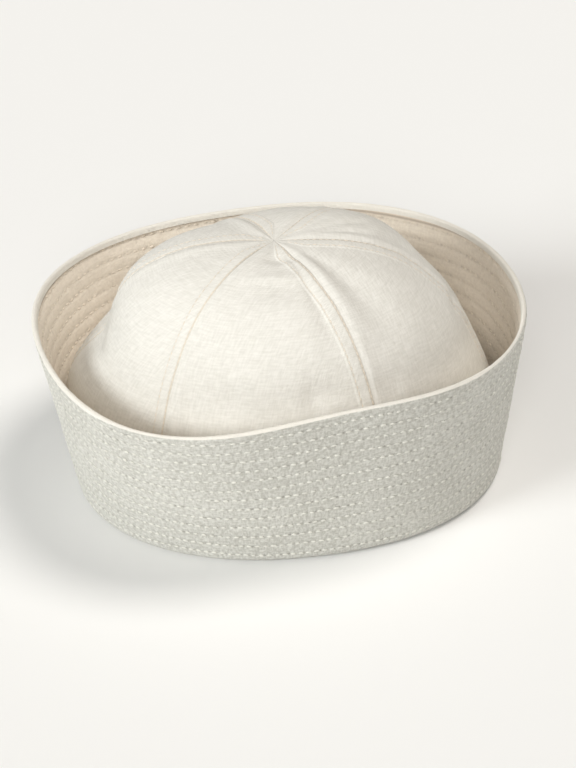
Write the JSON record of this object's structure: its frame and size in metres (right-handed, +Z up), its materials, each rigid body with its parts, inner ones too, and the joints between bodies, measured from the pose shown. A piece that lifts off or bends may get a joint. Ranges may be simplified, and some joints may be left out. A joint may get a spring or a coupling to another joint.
{
  "type": "sailor cap",
  "caption": "Soft white cotton sailor cap: rounded crown of seamed gores inside a deep quilted brim turned straight up all round.",
  "frame": {"origin": "on the floor plane, under the middle of the cap's box", "axes": "+Z up through the crown, -Y to the front of the cap along its long way, +X to its right"},
  "size_m": [0.2165, 0.2449, 0.1318],
  "materials": {
    "crown_cotton": "cream-white cotton twill with flat-felled seams",
    "brim_outer_cotton": "cream-white cotton twill quilted with rows of topstitching",
    "brim_inner_cotton": "cream-white cotton twill quilted with rows of topstitching"
  },
  "bodies": {
    "root": {"crown_gore_1": "crown_cotton", "crown_gore_2": "crown_cotton", "crown_gore_3": "crown_cotton", "crown_gore_4": "crown_cotton", "crown_gore_5": "crown_cotton", "crown_gore_6": "crown_cotton", "brim_outer": "brim_outer_cotton", "brim_inner": "brim_inner_cotton"}
  },
  "joints": []
}
